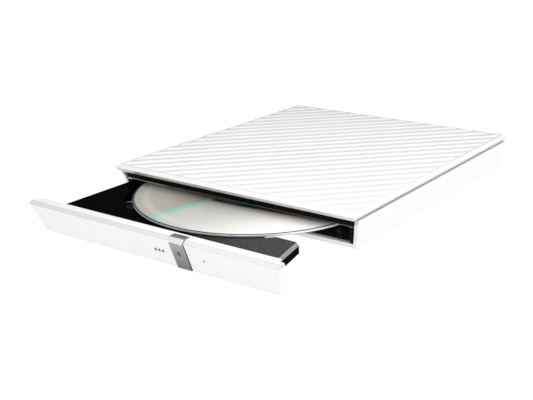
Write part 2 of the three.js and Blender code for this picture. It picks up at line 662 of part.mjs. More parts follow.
function frontBezel() {
  const { bottom, shoulder, top } = bezelFront(0);
  const backTop = BEZEL_TOP_FRONT + 2;
  const backBottom = BEZEL_FACE_BOTTOM.x + 2.8;
  const wedge = prismX(
    [bottom, [backBottom, bottom[1]], [backTop, BEZEL_TOP], top, shoulder], -HALF_WIDTH, HALF_WIDTH,
  );
  const endInset = 4.2;
  const ends = prismY(
    [[-HALF_WIDTH + endInset, 0], [HALF_WIDTH - endInset, 0], [HALF_WIDTH, shoulder[1]],
      [HALF_WIDTH - 0.2, BEZEL_TOP + 0.1], [-HALF_WIDTH + 0.2, BEZEL_TOP + 0.1], [-HALF_WIDTH, shoulder[1]]],
    -HALF_DEPTH - 4,
    -HALF_DEPTH + 12,
  );
  const ribBottom = LIP_TOP + 0.6;
  const ribTop = BEZEL_TOP;
  const ribX = (z) => innerHalfWidth(z) - 2 * GAP;
  const ribEnds = [
    [-ribX(ribBottom), ribBottom], [ribX(ribBottom), ribBottom], [ribX(ribTop), ribTop], [-ribX(ribTop), ribTop],
  ];
  const behindFace = prismX(
    [[bottom[0] + 0.8, bottom[1]], [BEZEL_RIB_BACK, bottom[1]], [BEZEL_RIB_BACK, ribTop], [top[0] + 0.6, ribTop],
      [shoulder[0] + 0.8, shoulder[1] - 0.6]],
    -HALF_WIDTH,
    HALF_WIDTH,
  );
  const rib = prismY(ribEnds, -HALF_DEPTH - 4, BEZEL_RIB_BACK).intersect(behindFace);
  const pocketFront = TRAY_FRONT - 0.4;
  const pocket = box(-64.6, 64.6, pocketFront, -HALF_DEPTH + 12, ribBottom - 0.1, BEZEL_TOP - 2);
  return cut(
    join(wedge.intersect(ends), rib), pocket, stripRecess(), ...stripPostHole(pocketFront), ...frontHoles(pocketFront),
  );
}

const stripSide = (x) => [STRIP_X - x, STRIP_X + x];

// The line that the strip turns about.
const STRIP_PIVOT = new THREE.Vector2(BEZEL_TOP_FRONT + 2.6, BEZEL_TOP);

// The recess behind the strip is deeper than the strip, so that it can be pressed.
function stripRecess() {
  const floor = bezelFront(STRIP_PROUD - STRIP_THICKNESS - 1);
  const ahead = -HALF_DEPTH - 8;
  const back = STRIP_PIVOT.x + 0.5;
  return prismX(
    [[ahead, -1], [floor.bottom[0] + 1, -1], floor.bottom, floor.shoulder, floor.top, [back, floor.top[1]],
      [back, BEZEL_TOP + 3], [ahead, BEZEL_TOP + 3]],
    ...stripSide(STRIP_WIDTH / 2 + 0.35),
  );
}

function stripPostHole(pocketFront) {
  const ahead = new THREE.Vector3(STRIP_X, -HALF_DEPTH, SWITCH_Z);
  return [rod(1.6, ahead, new THREE.Vector3(STRIP_X, pocketFront + 1, SWITCH_Z), 16)];
}

// The three indicator holes with the room for their light guide, and the emergency pinhole.
function frontHoles(pocketFront) {
  const through = (x, z, radius) => {
    const from = new THREE.Vector3(x, -HALF_DEPTH - 4, z);
    return rod(radius, from, new THREE.Vector3(x, pocketFront + 1, z), 12);
  };
  const room = box(
    INDICATOR_X - INDICATOR_PITCH - 1.4, INDICATOR_X + INDICATOR_PITCH + 1.4, pocketFront - 1.6, pocketFront + 1,
    INDICATOR_Z - 2, INDICATOR_Z + 1.4,
  );
  const dots = indicatorPositions().map((x) => through(x, INDICATOR_Z, 0.75));
  return [room, ...dots, through(PINHOLE_X, INDICATOR_Z + 0.4, 0.6)];
}

const indicatorPositions = () => [-1, 0, 1].map((step) => INDICATOR_X + step * INDICATOR_PITCH);

function lightGuide() {
  const blockFront = TRAY_FRONT - 0.4 - 1.3;
  const half = INDICATOR_PITCH + 1;
  const block = box(
    INDICATOR_X - half, INDICATOR_X + half, blockFront, TRAY_FRONT - 0.5, INDICATOR_Z - 1.6, INDICATOR_Z + 1,
  );
  const lean = (BEZEL_FACE_BOTTOM.x - BEZEL_FACE_TOP.x) / (BEZEL_FACE_TOP.y - BEZEL_FACE_BOTTOM.y);
  const faceY = BEZEL_FACE_TOP.x + (BEZEL_FACE_TOP.y - INDICATOR_Z) * lean;
  const pins = indicatorPositions().map((x) => {
    const tip = new THREE.Vector3(x, faceY, INDICATOR_Z);
    return rod(0.5, tip, new THREE.Vector3(x, blockFront + 0.3, INDICATOR_Z), 12);
  });
  return join(block, ...pins);
}

// The eject button: a metal strip folded over the bezel's top edge, with a post behind it.
function ejectStrip() {
  const outside = bezelFront(STRIP_PROUD);
  const inside = bezelFront(STRIP_PROUD - STRIP_THICKNESS);
  const bottom = BEZEL_FACE_BOTTOM.y + 0.1;
  const strip = prismX(
    [outside.bottom, inside.bottom, inside.shoulder, inside.top, [STRIP_PIVOT.x, inside.top[1]],
      [STRIP_PIVOT.x, outside.top[1]], outside.top, outside.shoulder],
    ...stripSide(STRIP_WIDTH / 2),
  );
  const postFront = new THREE.Vector3(STRIP_X, BEZEL_FACE_TOP.x + 3.2, SWITCH_Z);
  const post = rod(1.1, postFront, new THREE.Vector3(STRIP_X, TRAY_FRONT - 0.65, SWITCH_Z), 16);
  const above = box(0, 40, -HALF_DEPTH - 8, -HALF_DEPTH + 12, bottom, BEZEL_TOP + 3);
  return join(strip.intersect(above), post);
}

// ---------------------------------------------------------------- pieces that move in the tray

function turntable() {
  const profile = [
    [0, 4.6], [1.2, 4.6], [1.2, 6.6], [12.4, 6.6], [12.4, 8.4], [13, 8.4], [13, 8.9], [12.7, 9.2], [0, 9.2],
  ];
  return turned(profile, 32, SPINDLE);
}

const rubberRing = () => turned(ringProfile(9.6, 12.6, 9.3, DISC_BOTTOM - 0.1), 32, SPINDLE);

const CLAW_ANGLES = [90, 210, 330].map((degrees) => THREE.MathUtils.degToRad(degrees));
const HUB_TOP = DISC_TOP + 0.45;

// The hub centres the disc, and three claws spring out of it over the disc's hole.
function clampHub() {
  const profile = [[0, 9.3], [7.2, 9.3], [7.2, 10.9], [6.7, HUB_TOP], [0, HUB_TOP]];
  const slots = CLAW_ANGLES.map((angle) => prismZ(radialRectangle(angle, 3.7, 9, 2.6), 9.9, HUB_TOP + 1));
  return cut(turned(profile, 32, SPINDLE), ...slots);
}

function hubClaw(angle) {
  const body = prismZ(radialRectangle(angle, 4.6, 6.6, 2), 10.1, HUB_TOP - 0.05);
  const nose = prismZ(radialRectangle(angle, 6, 7.9, 2), DISC_TOP + 0.1, HUB_TOP - 0.05);
  return join(body, nose);
}

const opticalDisc = () => turned(ringProfile(DISC_HOLE_RADIUS, DISC_RADIUS, DISC_BOTTOM, DISC_TOP), 96, SPINDLE);

function pickupSled() {
  const [u0, u1] = [SLED_REST - SLED_HALF_LENGTH, SLED_REST + SLED_HALF_LENGTH];
  const bottom = TRAY_BOTTOM + 0.3;
  const base = sledBox(u0, u1, -SLED_HALF_WIDTH, SLED_HALF_WIDTH, bottom, 7.6);
  const turret = sledBox(u0 + 1.5, u1 - 1.5, -8, 8, 7.5, 8.8);
  const channel = (v, half, top) => sledBox(u0 - 1, u1 + 1, v - half, v + half, bottom - 1, top);
  return cut(
    join(base, turret),
    channel(-ROD_V, ROD_RADIUS + 0.3, ROD_Z + ROD_RADIUS + 0.3),
    channel(ROD_V, ROD_RADIUS + 0.3, ROD_Z + ROD_RADIUS + 0.3),
    channel(SCREW_V, SCREW_RADIUS + 0.3, SCREW_Z + SCREW_RADIUS + 0.1),
    sledBox(SLED_REST - 4.6, SLED_REST + 4.6, -4.2, 4.2, 5.2, 10),
  );
}

function lensHolder() {
  return cut(
    sledBox(SLED_REST - 3.5, SLED_REST + 3.5, -3, 3, 6.2, 8.7),
    cylinder(1.4, 6, 9, sledPoint(SLED_REST, 0), 16),
  );
}

const objectiveLens = () => turned([[0, 8.8], [2, 8.8], [2, 9], [1.2, 9.2], [0, 9.3]], 20, sledPoint(SLED_REST, 0));

function leadScrew() {
  const start = 14;
  const groove = 0.3;
  const turns = 16;
  const profile = [[0, 0], [SCREW_RADIUS, 0]];
  for (let turn = 0; turn < turns; turn += 1) {
    const at = 1 + turn * SCREW_PITCH;
    profile.push([SCREW_RADIUS, at], [SCREW_RADIUS - groove, at + SCREW_PITCH / 2]);
  }
  const end = 1 + turns * SCREW_PITCH;
  profile.push([SCREW_RADIUS, end], [SCREW_RADIUS, end + 1.5], [0, end + 1.5]);
  return turnedAlong(
    profile, sledAxisPoint(start, SCREW_V, SCREW_Z), sledAxisPoint(65, SCREW_V, SCREW_Z), 10,
  );
}

// The latch: a hook that swings behind the stud on the pan, with a tail behind the pinhole.
function latchLever() {
  const { x, y } = LATCH_PIVOT;
  const outline = [
    [30.4, y - 1.4], [x + 2, y - 1.4], [x + 1.6, -45.2], [STUD.x + 1.7, -45.2], [STUD.x + 2.4, -46.9],
    [STUD.x + 4, -46.9], [x - 1.6, y + 2.6], [30.4, y + 1],
  ];
  return cut(prismZ(outline, 5.8, 7.6), cylinder(1.05, 5, 9, LATCH_PIVOT, 16));
}

const latchPivotPin = () => cylinder(0.75, TRAY_BOTTOM + 0.4, DECK_BOTTOM - 0.1, LATCH_PIVOT, 12);

// ---------------------------------------------------------------- assembly

const drive = new THREE.Group();
const housing = new THREE.Group();
const rails = new THREE.Group();
const tray = new THREE.Group();
rails.position.y = -TRAY_OUT / 2;
tray.position.y = -TRAY_OUT;
drive.add(housing, rails, tray);

const SIDES = [[-1, 'left'], [1, 'right']];

piece(housing, 'top_cover', topCover(), WHITE_GLOSS);
piece(housing, 'bottom_shell', bottomShell(), WHITE_GLOSS);
cornersOf(FOOT).forEach((centre, i) => {
  const place = ['front_left', 'front_right', 'rear_left', 'rear_right'][i];
  piece(housing, `foot_${place}`, foot(centre), RUBBER);
});
SIDES.forEach(([side, word]) => {
  piece(housing, `case_screw_${word}`, caseScrew(new THREE.Vector2(side * BOSS.x, BOSS.y)), STEEL);
  piece(housing, `rail_guide_${word}`, railGuide(side), BLACK_PLASTIC);
  piece(rails, `slide_rail_${word}`, slideRail(side), STEEL);
});
piece(housing, 'front_frame', frontFrame(), BLACK_PLASTIC);
piece(housing, 'drive_base_pan', basePan(), STEEL);
piece(housing, 'drive_top_plate', driveTopPlate(), STEEL);
piece(housing, 'latch_stud', latchStud(), STEEL);
piece(housing, 'ejector_housing', ejectorHousing(), BLACK_PLASTIC);
piece(housing, 'ejector_pin', ejectorPin(), STEEL);
piece(housing, 'ejector_spring', ejectorSpring(), STEEL);
piece(housing, 'main_board', mainBoard(), BOARD_GREEN);
piece(housing, 'controller_chip', box(42, 54, -4, 8, 4.6, 5.8), CHIP);
piece(housing, 'motor_driver_chip', box(44, 51, 20, 27, 4.6, 5.6), CHIP);
piece(housing, 'drive_connector', driveConnector(), BLACK_PLASTIC);
piece(housing, 'bridge_board', bridgeBoard(), BOARD_GREEN);
piece(housing, 'board_connector', boardConnector(), BLACK_PLASTIC);
piece(housing, 'bridge_chip', box(4, 11, 65, 72, 4.7, 5.7), CHIP);
piece(housing, 'usb_socket', usbSocket(), STEEL);

piece(tray, 'tray_plate', trayPlate(), TRAY_PLASTIC);
piece(tray, 'front_bezel', frontBezel(), WHITE_GLOSS);
piece(tray, 'light_guide', lightGuide(), CLEAR);
piece(tray, 'eject_strip', ejectStrip(), BRUSHED);
piece(tray, 'switch_board', switchBoard(), BOARD_GREEN);
piece(tray, 'eject_switch', ejectSwitch(), BLACK_PLASTIC);
piece(tray, 'status_lamp', statusLamp(), CLEAR);
piece(tray, 'tray_under_cover', trayUnderCover(), STEEL);
piece(tray, 'traverse_chassis', traverseChassis(), STEEL);
DAMPER_POINTS.forEach((centre, i) => piece(tray, `damper_${i + 1}`, damper(centre), RUBBER));
piece(tray, 'spindle_motor', spindleMotor(), STEEL);
piece(tray, 'guide_rod_front', guideRod(ROD_V), STEEL);
piece(tray, 'guide_rod_rear', guideRod(-ROD_V), STEEL);
piece(tray, 'sled_motor', sledMotor(), STEEL);
piece(tray, 'lead_screw', leadScrew(), BRASS);
piece(tray, 'latch_solenoid', latchSolenoid(), STEEL);
piece(tray, 'latch_pivot_pin', latchPivotPin(), STEEL);
piece(tray, 'latch_lever', latchLever(), BLACK_PLASTIC);
piece(tray, 'turntable', turntable(), BLACK_PLASTIC);
piece(tray, 'rubber_ring', rubberRing(), RUBBER);
piece(tray, 'clamp_hub', clampHub(), BLACK_PLASTIC);
CLAW_ANGLES.forEach((angle, i) => piece(tray, `hub_claw_${i + 1}`, hubClaw(angle), BLACK_PLASTIC));
piece(tray, 'optical_disc', opticalDisc(), POLYCARBONATE);
piece(tray, 'pickup_sled', pickupSled(), BLACK_PLASTIC);
piece(tray, 'lens_holder', lensHolder(), BLACK_PLASTIC);
piece(tray, 'objective_lens', objectiveLens(), CLEAR);

const foremost = bezelFront(STRIP_PROUD).shoulder[0] - TRAY_OUT;
drive.position.y = -(foremost + HALF_DEPTH) / 2;

export default drive;
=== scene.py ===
import json
import math

import bmesh
import bpy
from mathutils import Matrix, Vector


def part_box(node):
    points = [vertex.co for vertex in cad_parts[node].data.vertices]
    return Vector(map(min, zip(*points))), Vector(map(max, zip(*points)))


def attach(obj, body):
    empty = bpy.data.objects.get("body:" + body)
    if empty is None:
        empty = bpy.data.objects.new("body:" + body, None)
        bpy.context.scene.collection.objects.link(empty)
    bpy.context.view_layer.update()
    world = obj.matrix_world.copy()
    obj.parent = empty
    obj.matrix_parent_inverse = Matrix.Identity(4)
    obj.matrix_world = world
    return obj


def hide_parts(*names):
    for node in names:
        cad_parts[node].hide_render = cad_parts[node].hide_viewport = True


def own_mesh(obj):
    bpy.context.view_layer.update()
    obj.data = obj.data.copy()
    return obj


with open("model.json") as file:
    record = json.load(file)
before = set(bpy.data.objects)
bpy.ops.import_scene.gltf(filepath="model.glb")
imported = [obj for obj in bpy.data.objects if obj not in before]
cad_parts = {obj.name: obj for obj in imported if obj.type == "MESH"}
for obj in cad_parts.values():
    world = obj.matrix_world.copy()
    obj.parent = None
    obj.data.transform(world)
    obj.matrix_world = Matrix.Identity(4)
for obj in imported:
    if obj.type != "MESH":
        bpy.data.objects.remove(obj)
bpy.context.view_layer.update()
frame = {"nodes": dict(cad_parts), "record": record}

MM = 0.001


# ------------------------------------------------------------------ places taken from the frame

def middle(node):
    low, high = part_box(node)
    return (low + high) / 2


cover_low, cover_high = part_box("top_cover")
shell_low, shell_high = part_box("bottom_shell")
disc_low, disc_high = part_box("optical_disc")
strip_low, strip_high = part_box("eject_strip")
BLOCK_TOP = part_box("tray_plate")[1].z
BEZEL_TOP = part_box("front_bezel")[1].z

RIDGE_HEIGHT = 0.4 * MM
CHAMFER_HEIGHT = 1.7 * MM
SHELL_GAP = 0.5 * MM
COVER_TOP = cover_high.z - RIDGE_HEIGHT
COVER_RIM = COVER_TOP - CHAMFER_HEIGHT
COVER_BOTTOM = shell_high.z + SHELL_GAP
COVER_RECT = (cover_low.x, cover_high.x, cover_low.y, cover_high.y)
DISC_CENTRE = middle("optical_disc")
DISC_RADIUS = (disc_high.x - disc_low.x) / 2
NOMINAL_RADIUS = 60 * MM
DISC_THICKNESS = 1.2 * MM


# ------------------------------------------------------------------ camera, lights and floor

# The camera's azimuth, elevation and roll in degrees, and its place: metres to the right of the
# object's middle, ahead of the cover's front edge, and above the floor.
CAMERA_ANGLES = (34.09, 18.79, -0.65)
CAMERA_RIGHT, CAMERA_AHEAD, CAMERA_HEIGHT = 0.2636, 0.3031, 0.1486
SENSOR_WIDTH, FOCAL_LENGTH = 36, 62.05
CAMERA_SHIFT = -0.119


def make_camera():
    azimuth, elevation, roll = (math.radians(angle) for angle in CAMERA_ANGLES)
    place = Vector((CAMERA_RIGHT, cover_low.y - CAMERA_AHEAD, CAMERA_HEIGHT))
    back = Vector((
        math.sin(azimuth) * math.cos(elevation),
        -math.cos(azimuth) * math.cos(elevation),
        math.sin(elevation),
    ))
    level = Vector((math.cos(azimuth), math.sin(azimuth), 0))
    upright = back.cross(level)
    right = math.cos(roll) * level + math.sin(roll) * upright
    up = math.cos(roll) * upright - math.sin(roll) * level
    data = bpy.data.cameras.new("camera")
    data.sensor_width = SENSOR_WIDTH
    data.lens = FOCAL_LENGTH
    data.shift_x = CAMERA_SHIFT
    data.clip_start = 0.01
    camera = bpy.data.objects.new("camera", data)
    rows = [[right[i], up[i], back[i], place[i]] for i in range(3)]
    camera.matrix_world = Matrix(rows + [[0, 0, 0, 1]])
    bpy.context.scene.collection.objects.link(camera)
    bpy.context.scene.camera = camera


# Each light's place, target and size in metres, and its power in watts.
LIGHTS = {
    "overhead": ((0.07, -0.09, 0.32), (0.07, -0.09, 0), (0.3, 0.3), 0.9),
    "key": ((0.34, -0.3, 0.42), (0.03, 0, 0), (0.35, 0.35), 0.5),
    "right": ((0.45, 0.12, 0.32), (0, 0, 0), (0.3, 0.4), 1.25),
    "front": ((-0.25, -0.9, 0.22), (0, -0.06, 0), (0.9, 0.3), 1.05),
    "front_right": ((0.2, -0.45, 0.12), (0.06, -0.1, 0.01), (0.15, 0.1), 0.2),
    "strip_glow": ((-0.27, -0.27, 0.44), (0.02, -0.1, 0), (0.2, 0.2), 0.16),
}
FLOOR_REACH = 12


def area_light(name, place, target, size, power):
    data = bpy.data.lights.new(name, "AREA")
    data.shape = "RECTANGLE"
    data.size, data.size_y = size
    data.energy = power
    lamp = bpy.data.objects.new(name, data)
    lamp.location = place
    lamp.rotation_euler = (Vector(target) - Vector(place)).to_track_quat("-Z", "Y").to_euler()
    bpy.context.scene.collection.objects.link(lamp)


def make_lights():
    world = bpy.data.worlds.new("studio")
    world.use_nodes = True
    background = world.node_tree.nodes["Background"]
    background.inputs["Color"].default_value = (0.97, 0.985, 1, 1)
    background.inputs["Strength"].default_value = 0.36
    scene = bpy.context.scene
    scene.world = world
    scene.view_settings.view_transform = "Standard"
    for name, (place, target, size, power) in LIGHTS.items():
        area_light(name, place, target, size, power)


def make_floor():
    """A pale paper floor that also glows, so that it stays white under soft light."""
    mesh = bpy.data.meshes.new("floor")
    signs = [(-1, -1), (1, -1), (1, 1), (-1, 1)]
    corners = [(x * FLOOR_REACH, y * FLOOR_REACH, 0) for x, y in signs]
    mesh.from_pydata(corners, [], [(0, 1, 2, 3)])
    floor = bpy.data.objects.new("floor", mesh)
    bpy.context.scene.collection.objects.link(floor)
    material, shader, _, _ = new_material("floor_paper", (0.16, 0.16, 0.16), 0.9)
    shader.inputs["Specular IOR Level"].default_value = 0
    shader.inputs["Emission Color"].default_value = (1, 1, 1, 1)
    shader.inputs["Emission Strength"].default_value = 0.94
    mesh.materials.append(material)


# ------------------------------------------------------------------ materials

UP = (0, 0, 1)
DOWN = (0, 0, -1)
ACROSS = (1, 0, 0)
BACKWARDS = (0, 1, 0)


def new_material(name, colour, roughness, metallic=0.0):
    material = bpy.data.materials.new(name)
    material.use_nodes = True
    nodes = material.node_tree.nodes
    shader = nodes["Principled BSDF"]
    shader.inputs["Base Color"].default_value = (*colour, 1)
    shader.inputs["Roughness"].default_value = roughness
    shader.inputs["Metallic"].default_value = metallic
    return material, shader, nodes, material.node_tree.links


def noise_node(nodes, links, scale, detail=3, stretch=(1, 1, 1)):
    """Noise over the object's own metres, stretched along its axes."""
    coordinates = nodes.new("ShaderNodeTexCoord")
    mapping = nodes.new("ShaderNodeMapping")
    mapping.inputs["Scale"].default_value = stretch
    noise = nodes.new("ShaderNodeTexNoise")
    noise.inputs["Scale"].default_value = scale
    noise.inputs["Detail"].default_value = detail
    links.new(coordinates.outputs["Object"], mapping.inputs["Vector"])
    links.new(mapping.outputs["Vector"], noise.inputs["Vector"])
    return noise


def ramp_node(nodes, links, source, stops):
    ramp = nodes.new("ShaderNodeValToRGB")
    elements = ramp.color_ramp.elements
    while len(elements) < len(stops):
        elements.new(0.5)
    for element, (position, colour) in zip(elements, stops):
        element.position = position
        element.color = (*colour, 1) if len(colour) == 3 else colour
    links.new(source, ramp.inputs["Fac"])
    return ramp


def range_node(nodes, links, source, low, high, to_low=0, to_high=1):
    node = nodes.new("ShaderNodeMapRange")
    node.inputs["From Min"].default_value = low
    node.inputs["From Max"].default_value = high
    node.inputs["To Min"].default_value = to_low
    node.inputs["To Max"].default_value = to_high
    links.new(source, node.inputs["Value"])
    return node


def mix_colours(nodes, links, factor, first, second):
    """One colour over another by a factor; each is an output or a plain colour."""
    mix = nodes.new("ShaderNodeMix")
    mix.data_type = "RGBA"
    links.new(factor, mix.inputs["Factor"])
    for name, colour in (("A", first), ("B", second)):
        socket = next(s for s in mix.inputs if s.name == name and s.type == "RGBA")
        if isinstance(colour, tuple):
            socket.default_value = (*colour, 1)
        else:
            links.new(colour, socket)
    return next(s for s in mix.outputs if s.type == "RGBA")


def along_node(nodes, links, origin, direction):
    """How far a point of the object lies from origin along a direction, in metres."""
    coordinates = nodes.new("ShaderNodeTexCoord")
    offset = nodes.new("ShaderNodeVectorMath")
    offset.operation = "SUBTRACT"
    offset.inputs[1].default_value = origin
    dot = nodes.new("ShaderNodeVectorMath")
    dot.operation = "DOT_PRODUCT"
    dot.inputs[1].default_value = direction
    links.new(coordinates.outputs["Object"], offset.inputs[0])
    links.new(offset.outputs["Vector"], dot.inputs[0])
    return dot.outputs["Value"]


def distance_node(nodes, links, origin):
    """How far a point of the object lies from origin, in metres."""
    coordinates = nodes.new("ShaderNodeTexCoord")
    distance = nodes.new("ShaderNodeVectorMath")
    distance.operation = "DISTANCE"
    distance.inputs[1].default_value = origin
    links.new(coordinates.outputs["Object"], distance.inputs[0])
    return distance.outputs["Value"]


def multiply_node(nodes, links, first, second):
    product = nodes.new("ShaderNodeMath")
    product.operation = "MULTIPLY"
    links.new(first, product.inputs[0])
    links.new(second, product.inputs[1])
    return product.outputs["Value"]


def tint_node(nodes, links, first, second):
    """Two colours multiplied."""
    tint = nodes.new("ShaderNodeMix")
    tint.data_type = "RGBA"
    tint.blend_type = "MULTIPLY"
    tint.inputs["Factor"].default_value = 1
    first_socket, second_socket = (s for s in tint.inputs if s.type == "RGBA")
    links.new(first, first_socket)
    links.new(second, second_socket)
    return next(s for s in tint.outputs if s.type == "RGBA")


def add_bump(nodes, links, shader, source, strength, distance):
    bump = nodes.new("ShaderNodeBump")
    bump.inputs["Strength"].default_value = strength
    bump.inputs["Distance"].default_value = distance
    links.new(source, bump.inputs["Height"])
    links.new(bump.outputs["Normal"], shader.inputs["Normal"])


def vary(nodes, links, shader, colour, spread, roughness, roughness_spread, scale):
    """Cloudy variation of colour and roughness."""
    noise = noise_node(nodes, links, scale)
    darker = tuple(c * (1 - spread) for c in colour)
    lighter = tuple(min(1, c * (1 + spread)) for c in colour)
    ramp = ramp_node(nodes, links, noise.outputs["Fac"], [(0.3, darker), (0.7, lighter)])
    links.new(ramp.outputs["Color"], shader.inputs["Base Color"])
    smoother, rougher = roughness - roughness_spread, roughness + roughness_spread
    rough = range_node(nodes, links, noise.outputs["Fac"], 0.3, 0.7, smoother, rougher)
    links.new(rough.outputs["Result"], shader.inputs["Roughness"])
    return ramp


def white_shell_material(name, white, origin, direction, painted_shade_stops):
    """Glossy white plastic; its painted shading is given as (mm from origin, grey) stops along a
    direction.
    """
    colour = (white, white * 1.004, white * 1.012)
    material, shader, nodes, links = new_material(name, colour, 0.22)
    cloudy = vary(
        nodes, links, shader, colour, spread=0.008, roughness=0.23, roughness_spread=0.03, scale=60,
    )
    span = painted_shade_stops[-1][0]
    along = along_node(nodes, links, origin, direction)
    place = range_node(nodes, links, along, 0, span * MM)
    stops = [(stop / span, (grey, grey, grey)) for stop, grey in painted_shade_stops]
    # Painted shading: the white is greyed by these stops.
    painted_shade_ramp = ramp_node(nodes, links, place.outputs["Result"], stops)
    painted_shade_colour = tint_node(nodes, links, cloudy.outputs["Color"], painted_shade_ramp.outputs["Color"])
    links.new(painted_shade_colour, shader.inputs["Base Color"])
    peel = noise_node(nodes, links, 900, detail=2)
    add_bump(nodes, links, shader, peel.outputs["Fac"], strength=0.05, distance=0.02 * MM)
    shader.inputs["Coat Weight"].default_value = 0.35
    shader.inputs["Coat Roughness"].default_value = 0.08
    shader.inputs["Specular IOR Level"].default_value = 0.45
    return material


def cover_material():
    """The cover's white, with painted shading: greyer on the chamfer, at its two edges and in the
    ridges' troughs.
    """
    start = (0, 0, COVER_RIM - 0.2 * MM)
    return white_shell_material("cover_white", 0.86, start, UP, [
        (0.1, 0.76), (0.3, 0.76), (0.4, 0.89), (1.6, 0.89),
        (1.7, 0.74), (1.88, 0.74), (1.9, 0.84), (2.15, 1.0),
    ])


def bezel_material():
    """The bezel's white, with painted shading: greyer on the band between its face and its flat top.
    """
    start = (0, 0, BEZEL_TOP - 2 * MM)
    return white_shell_material("bezel_white", 0.82, start, UP, [
        (0.45, 1.0), (0.5, 0.66), (0.6, 0.66), (0.66, 0.75),
        (1.76, 0.75), (1.8, 0.6), (1.93, 0.6), (2.0, 1.0),
    ])


def lower_case_material():
    """The lower case's white, with painted shading: greyer on the rim round the front opening."""
    start = (0, shell_low.y, 0)
    return white_shell_material("lower_case_white", 0.8, start, BACKWARDS, [
        (0, 0.7), (0.4, 0.7), (0.7, 1.0),
    ])


def black_plastic_material():
    """Black plastic, with a painted grey highlight along the edge just above the disc, palest at its
    left end.
    """
    black, blacker = (0.004, 0.004, 0.0045), (0.003, 0.003, 0.0035)
    opening_half_width = 65 * MM
    material, shader, nodes, links = new_material("black_plastic", black, 0.38)
    cloud = noise_node(nodes, links, 150)
    body = ramp_node(nodes, links, cloud.outputs["Fac"], [(0.3, blacker), (0.7, black)])
    above_disc = along_node(nodes, links, (0, 0, disc_high.z), UP)
    height = range_node(nodes, links, above_disc, 0, 2 * MM)
    edge = ramp_node(nodes, links, height.outputs["Result"], [
        (0.2, (1, 1, 1, 0)), (0.3, (1, 1, 1, 1)), (0.5, (1, 1, 1, 1)), (0.56, (1, 1, 1, 0)),
    ])
    aside = along_node(nodes, links, (0, 0, 0), ACROSS)
    place = range_node(nodes, links, aside, -opening_half_width, opening_half_width)
    # The painted highlight's grey across the opening, brightest at the left.
    painted_highlight = ramp_node(nodes, links, place.outputs["Result"], [
        (0.02, (0.8, 0.8, 0.8)), (0.14, (0.6, 0.6, 0.6)),
        (0.2, (0.24, 0.24, 0.25)), (0.9, (0.16, 0.16, 0.16)),
    ])
    share = edge.outputs["Alpha"]
    colour = mix_colours(nodes, links, share, body.outputs["Color"], painted_highlight.outputs["Color"])
    links.new(colour, shader.inputs["Base Color"])
    rough = range_node(nodes, links, cloud.outputs["Fac"], 0.3, 0.7, 0.36, 0.46)
    links.new(rough.outputs["Result"], shader.inputs["Roughness"])
    shader.inputs["Specular IOR Level"].default_value = 0.05
    grain = noise_node(nodes, links, 5000, detail=2)
    add_bump(nodes, links, shader, grain.outputs["Fac"], strength=0.15, distance=0.02 * MM)
    return material


def tray_material():
    """Black plastic: a smooth deck that fades, partly by painted light from the right, into a paler,
    grained block with a grey bevel on its right.
    """
    smooth, grained, paler = (0.001, 0.001, 0.0012), (0.038, 0.038, 0.04), (0.062, 0.062, 0.065)
    grain_and_painted_light_start, grain_and_painted_light_full = 4 * MM, 36 * MM
    bevel_start, bevel_full = 53.5 * MM, 54.5 * MM
    material, shader, nodes, links = new_material("tray_plastic", smooth, 0.5)
    aside = along_node(nodes, links, (0, 0, 0), ACROSS)
    # The fade from deck to block is partly the block's grain and partly painted light from the
    # right.
    grain_and_painted_light_share = range_node(nodes, links, aside, grain_and_painted_light_start, grain_and_painted_light_full)
    cloud = noise_node(nodes, links, 900, detail=4)
    grainy = ramp_node(nodes, links, cloud.outputs["Fac"], [(0.3, grained), (0.7, paler)])
    deck = mix_colours(nodes, links, grain_and_painted_light_share.outputs["Result"], smooth, grainy.outputs["Color"])
    below_top = along_node(nodes, links, (0, 0, BLOCK_TOP), DOWN)
    depth = range_node(nodes, links, below_top, 0, 2 * MM)
    edge = ramp_node(nodes, links, depth.outputs["Result"], [
        (0.03, (0.26, 0.26, 0.26, 0)), (0.08, (0.26, 0.26, 0.26, 1)),
        (0.46, (0.22, 0.22, 0.22, 1)), (0.5, (0.001, 0.001, 0.001, 1)),
    ])
    outer = range_node(nodes, links, aside, bevel_start, bevel_full)
    edge_share = multiply_node(nodes, links, edge.outputs["Alpha"], outer.outputs["Result"])
    colour = mix_colours(nodes, links, edge_share, deck, edge.outputs["Color"])
    links.new(colour, shader.inputs["Base Color"])
    rough = range_node(nodes, links, cloud.outputs["Fac"], 0.3, 0.7, 0.5, 0.62)
    links.new(rough.outputs["Result"], shader.inputs["Roughness"])
    shader.inputs["Specular IOR Level"].default_value = 0.005
    grain = noise_node(nodes, links, 4500, detail=3)
    add_bump(nodes, links, shader, grain.outputs["Fac"], strength=0.4, distance=0.04 * MM)
    return material


def sheet_steel_material(name="sheet_steel", grey=0.4):
    colour = (grey, grey * 1.01, grey * 1.03)
    material, shader, nodes, links = new_material(name, colour, 0.35, 1.0)
    vary(nodes, links, shader, colour, spread=0.1, roughness=0.38, roughness_spread=0.08, scale=90)
    rolled = noise_node(nodes, links, 400, detail=3, stretch=(1, 12, 1))
    add_bump(nodes, links, shader, rolled.outputs["Fac"], strength=0.15, distance=0.02 * MM)
    return material


def machined_steel_material():
    colour = (0.6, 0.6, 0.61)
    material, shader, nodes, links = new_material("machined_steel", colour, 0.22, 1.0)
    vary(nodes, links, shader, colour, spread=0.06, roughness=0.24, roughness_spread=0.05, scale=300)
    turned = noise_node(nodes, links, 2500, detail=2)
    add_bump(nodes, links, shader, turned.outputs["Fac"], strength=0.08, distance=0.01 * MM)
    return material


